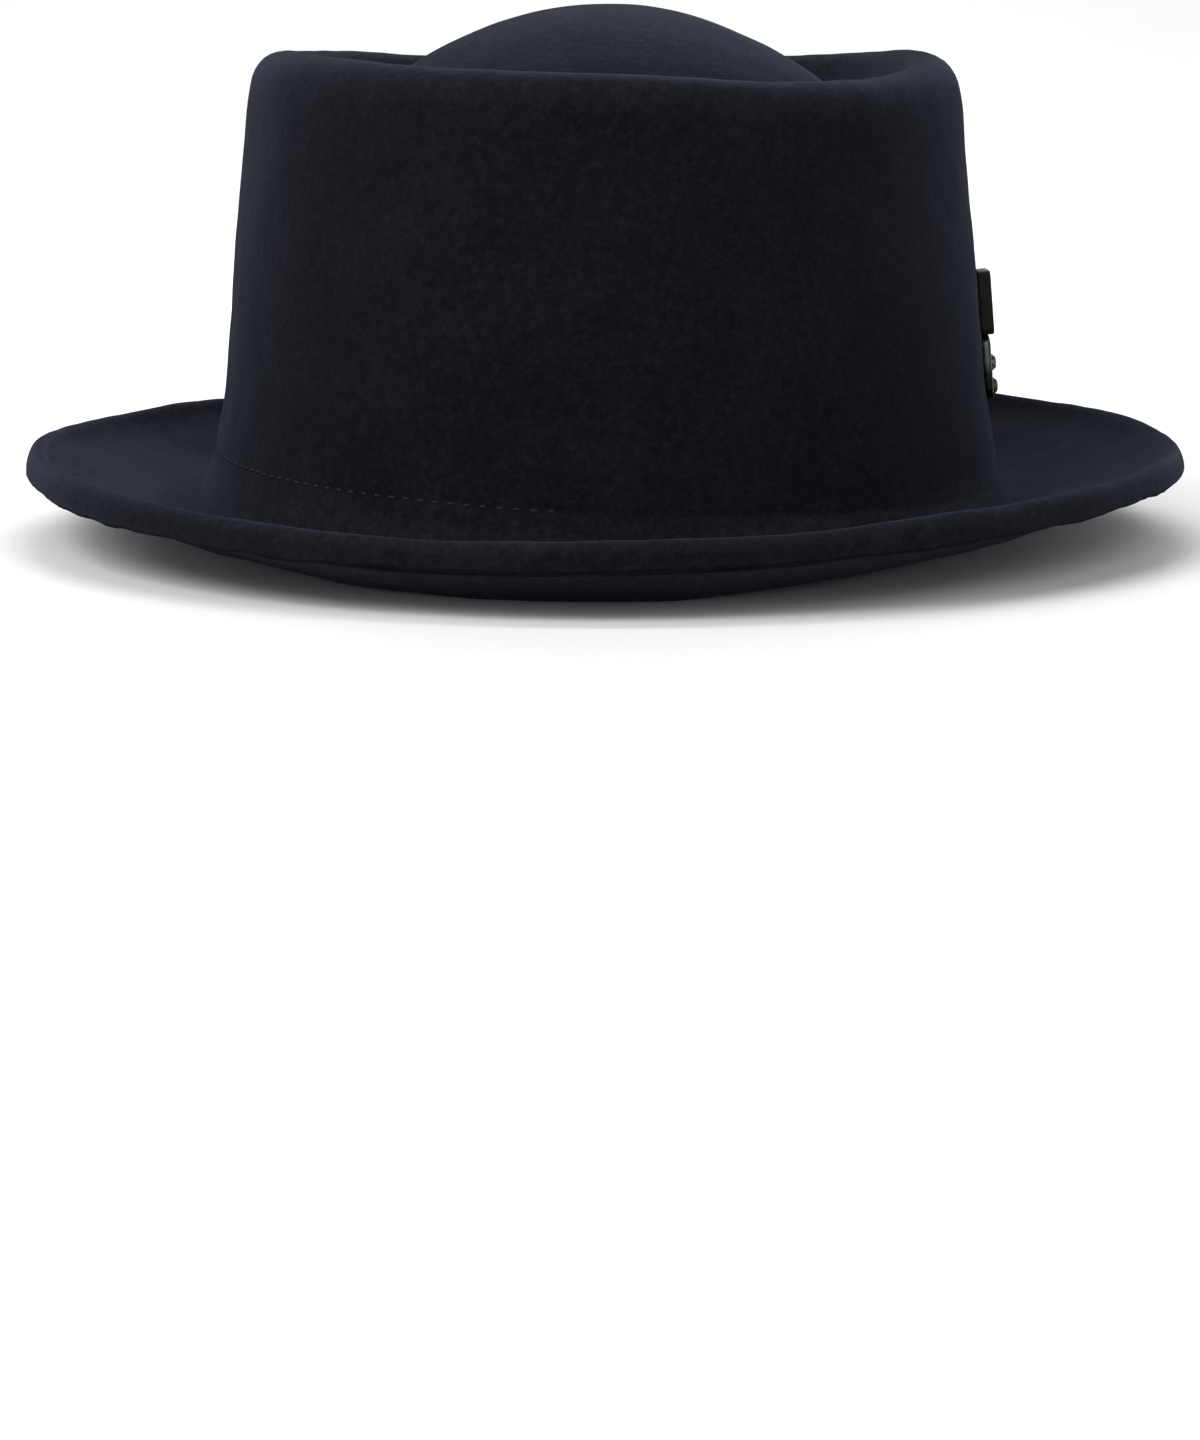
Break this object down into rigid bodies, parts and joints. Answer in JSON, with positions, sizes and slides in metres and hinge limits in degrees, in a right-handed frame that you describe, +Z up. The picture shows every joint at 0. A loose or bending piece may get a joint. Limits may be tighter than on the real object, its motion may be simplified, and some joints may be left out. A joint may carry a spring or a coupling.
{
  "type": "felt fedora with a telescope crown (pork pie hat)",
  "caption": "Stiff felt hat with a flat-rimmed telescope crown, a low dome in its tip, a narrow upturned brim with a rolled edge, and a small plain badge on one side.",
  "frame": {"origin": "middle of the box's foot, on the surface that the hat rests on", "axes": "+Z up, -Y towards the front of the hat, +X towards the side with the badge"},
  "size_m": [0.2594, 0.2916, 0.1168],
  "materials": {
    "felt": "matt navy wool felt with a soft nap",
    "leather": "smooth black leather",
    "enamel": "satin dark enamel",
    "steel": "polished",
    "brass": "aged"
  },
  "bodies": {
    "root": {"felt_body": "felt", "sweatband": "leather", "badge_plate": "enamel", "badge_bar": "steel", "badge_stud_upper": "steel", "badge_stud_lower": "brass", "badge_pin": "steel"}
  },
  "joints": []
}
